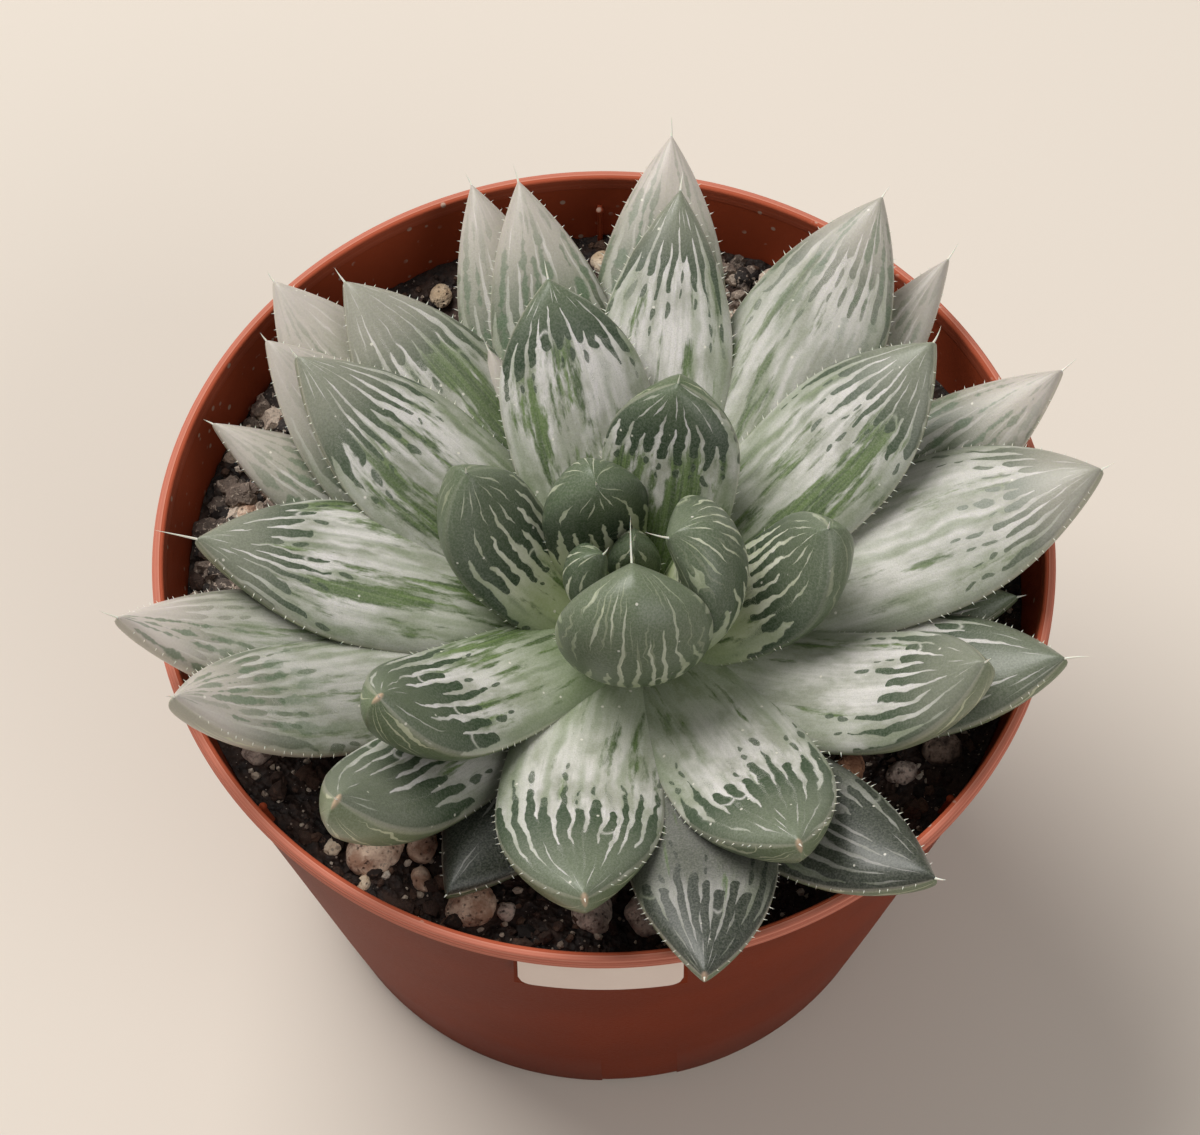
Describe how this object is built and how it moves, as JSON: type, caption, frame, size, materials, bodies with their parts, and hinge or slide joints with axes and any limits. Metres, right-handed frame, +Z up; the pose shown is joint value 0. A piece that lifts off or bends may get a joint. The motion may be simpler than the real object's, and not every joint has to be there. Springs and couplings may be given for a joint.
{
  "type": "potted haworthia",
  "caption": "Variegated haworthia rosette of fleshy pointed leaves, growing in gritty soil in a small round tapered plastic pot with a thick lip.",
  "frame": {"origin": "centre of the underside of the pot, on the pot's axis, at the level its foot ring stands on", "axes": "+Z up out of the pot; -Y towards the side with the label; +X to the right seen from that side"},
  "size_m": [0.0913, 0.0902, 0.076],
  "materials": {
    "pot_plastic": "satin terracotta-brown injection-moulded plastic",
    "label_paper": "matte cream sticker, bare",
    "leaf": "waxy translucent leaf, grey-green windows with cream and green stripes",
    "soil": "moist dark peat with pale grit",
    "pumice": "rough porous pebble"
  },
  "bodies": {
    "root": {"pot": "pot_plastic", "label": "label_paper", "rosette": "leaf", "soil": "soil", "stone_01": "pumice", "stone_02": "pumice", "stone_03": "pumice", "stone_04": "pumice", "stone_05": "pumice", "stone_06": "pumice", "stone_07": "pumice", "stone_08": "pumice", "stone_09": "pumice", "stone_10": "pumice", "stone_11": "pumice", "stone_12": "pumice", "stone_13": "pumice", "stone_14": "pumice", "stone_15": "pumice", "stone_16": "pumice", "stone_17": "pumice", "stone_18": "pumice"}
  },
  "joints": []
}
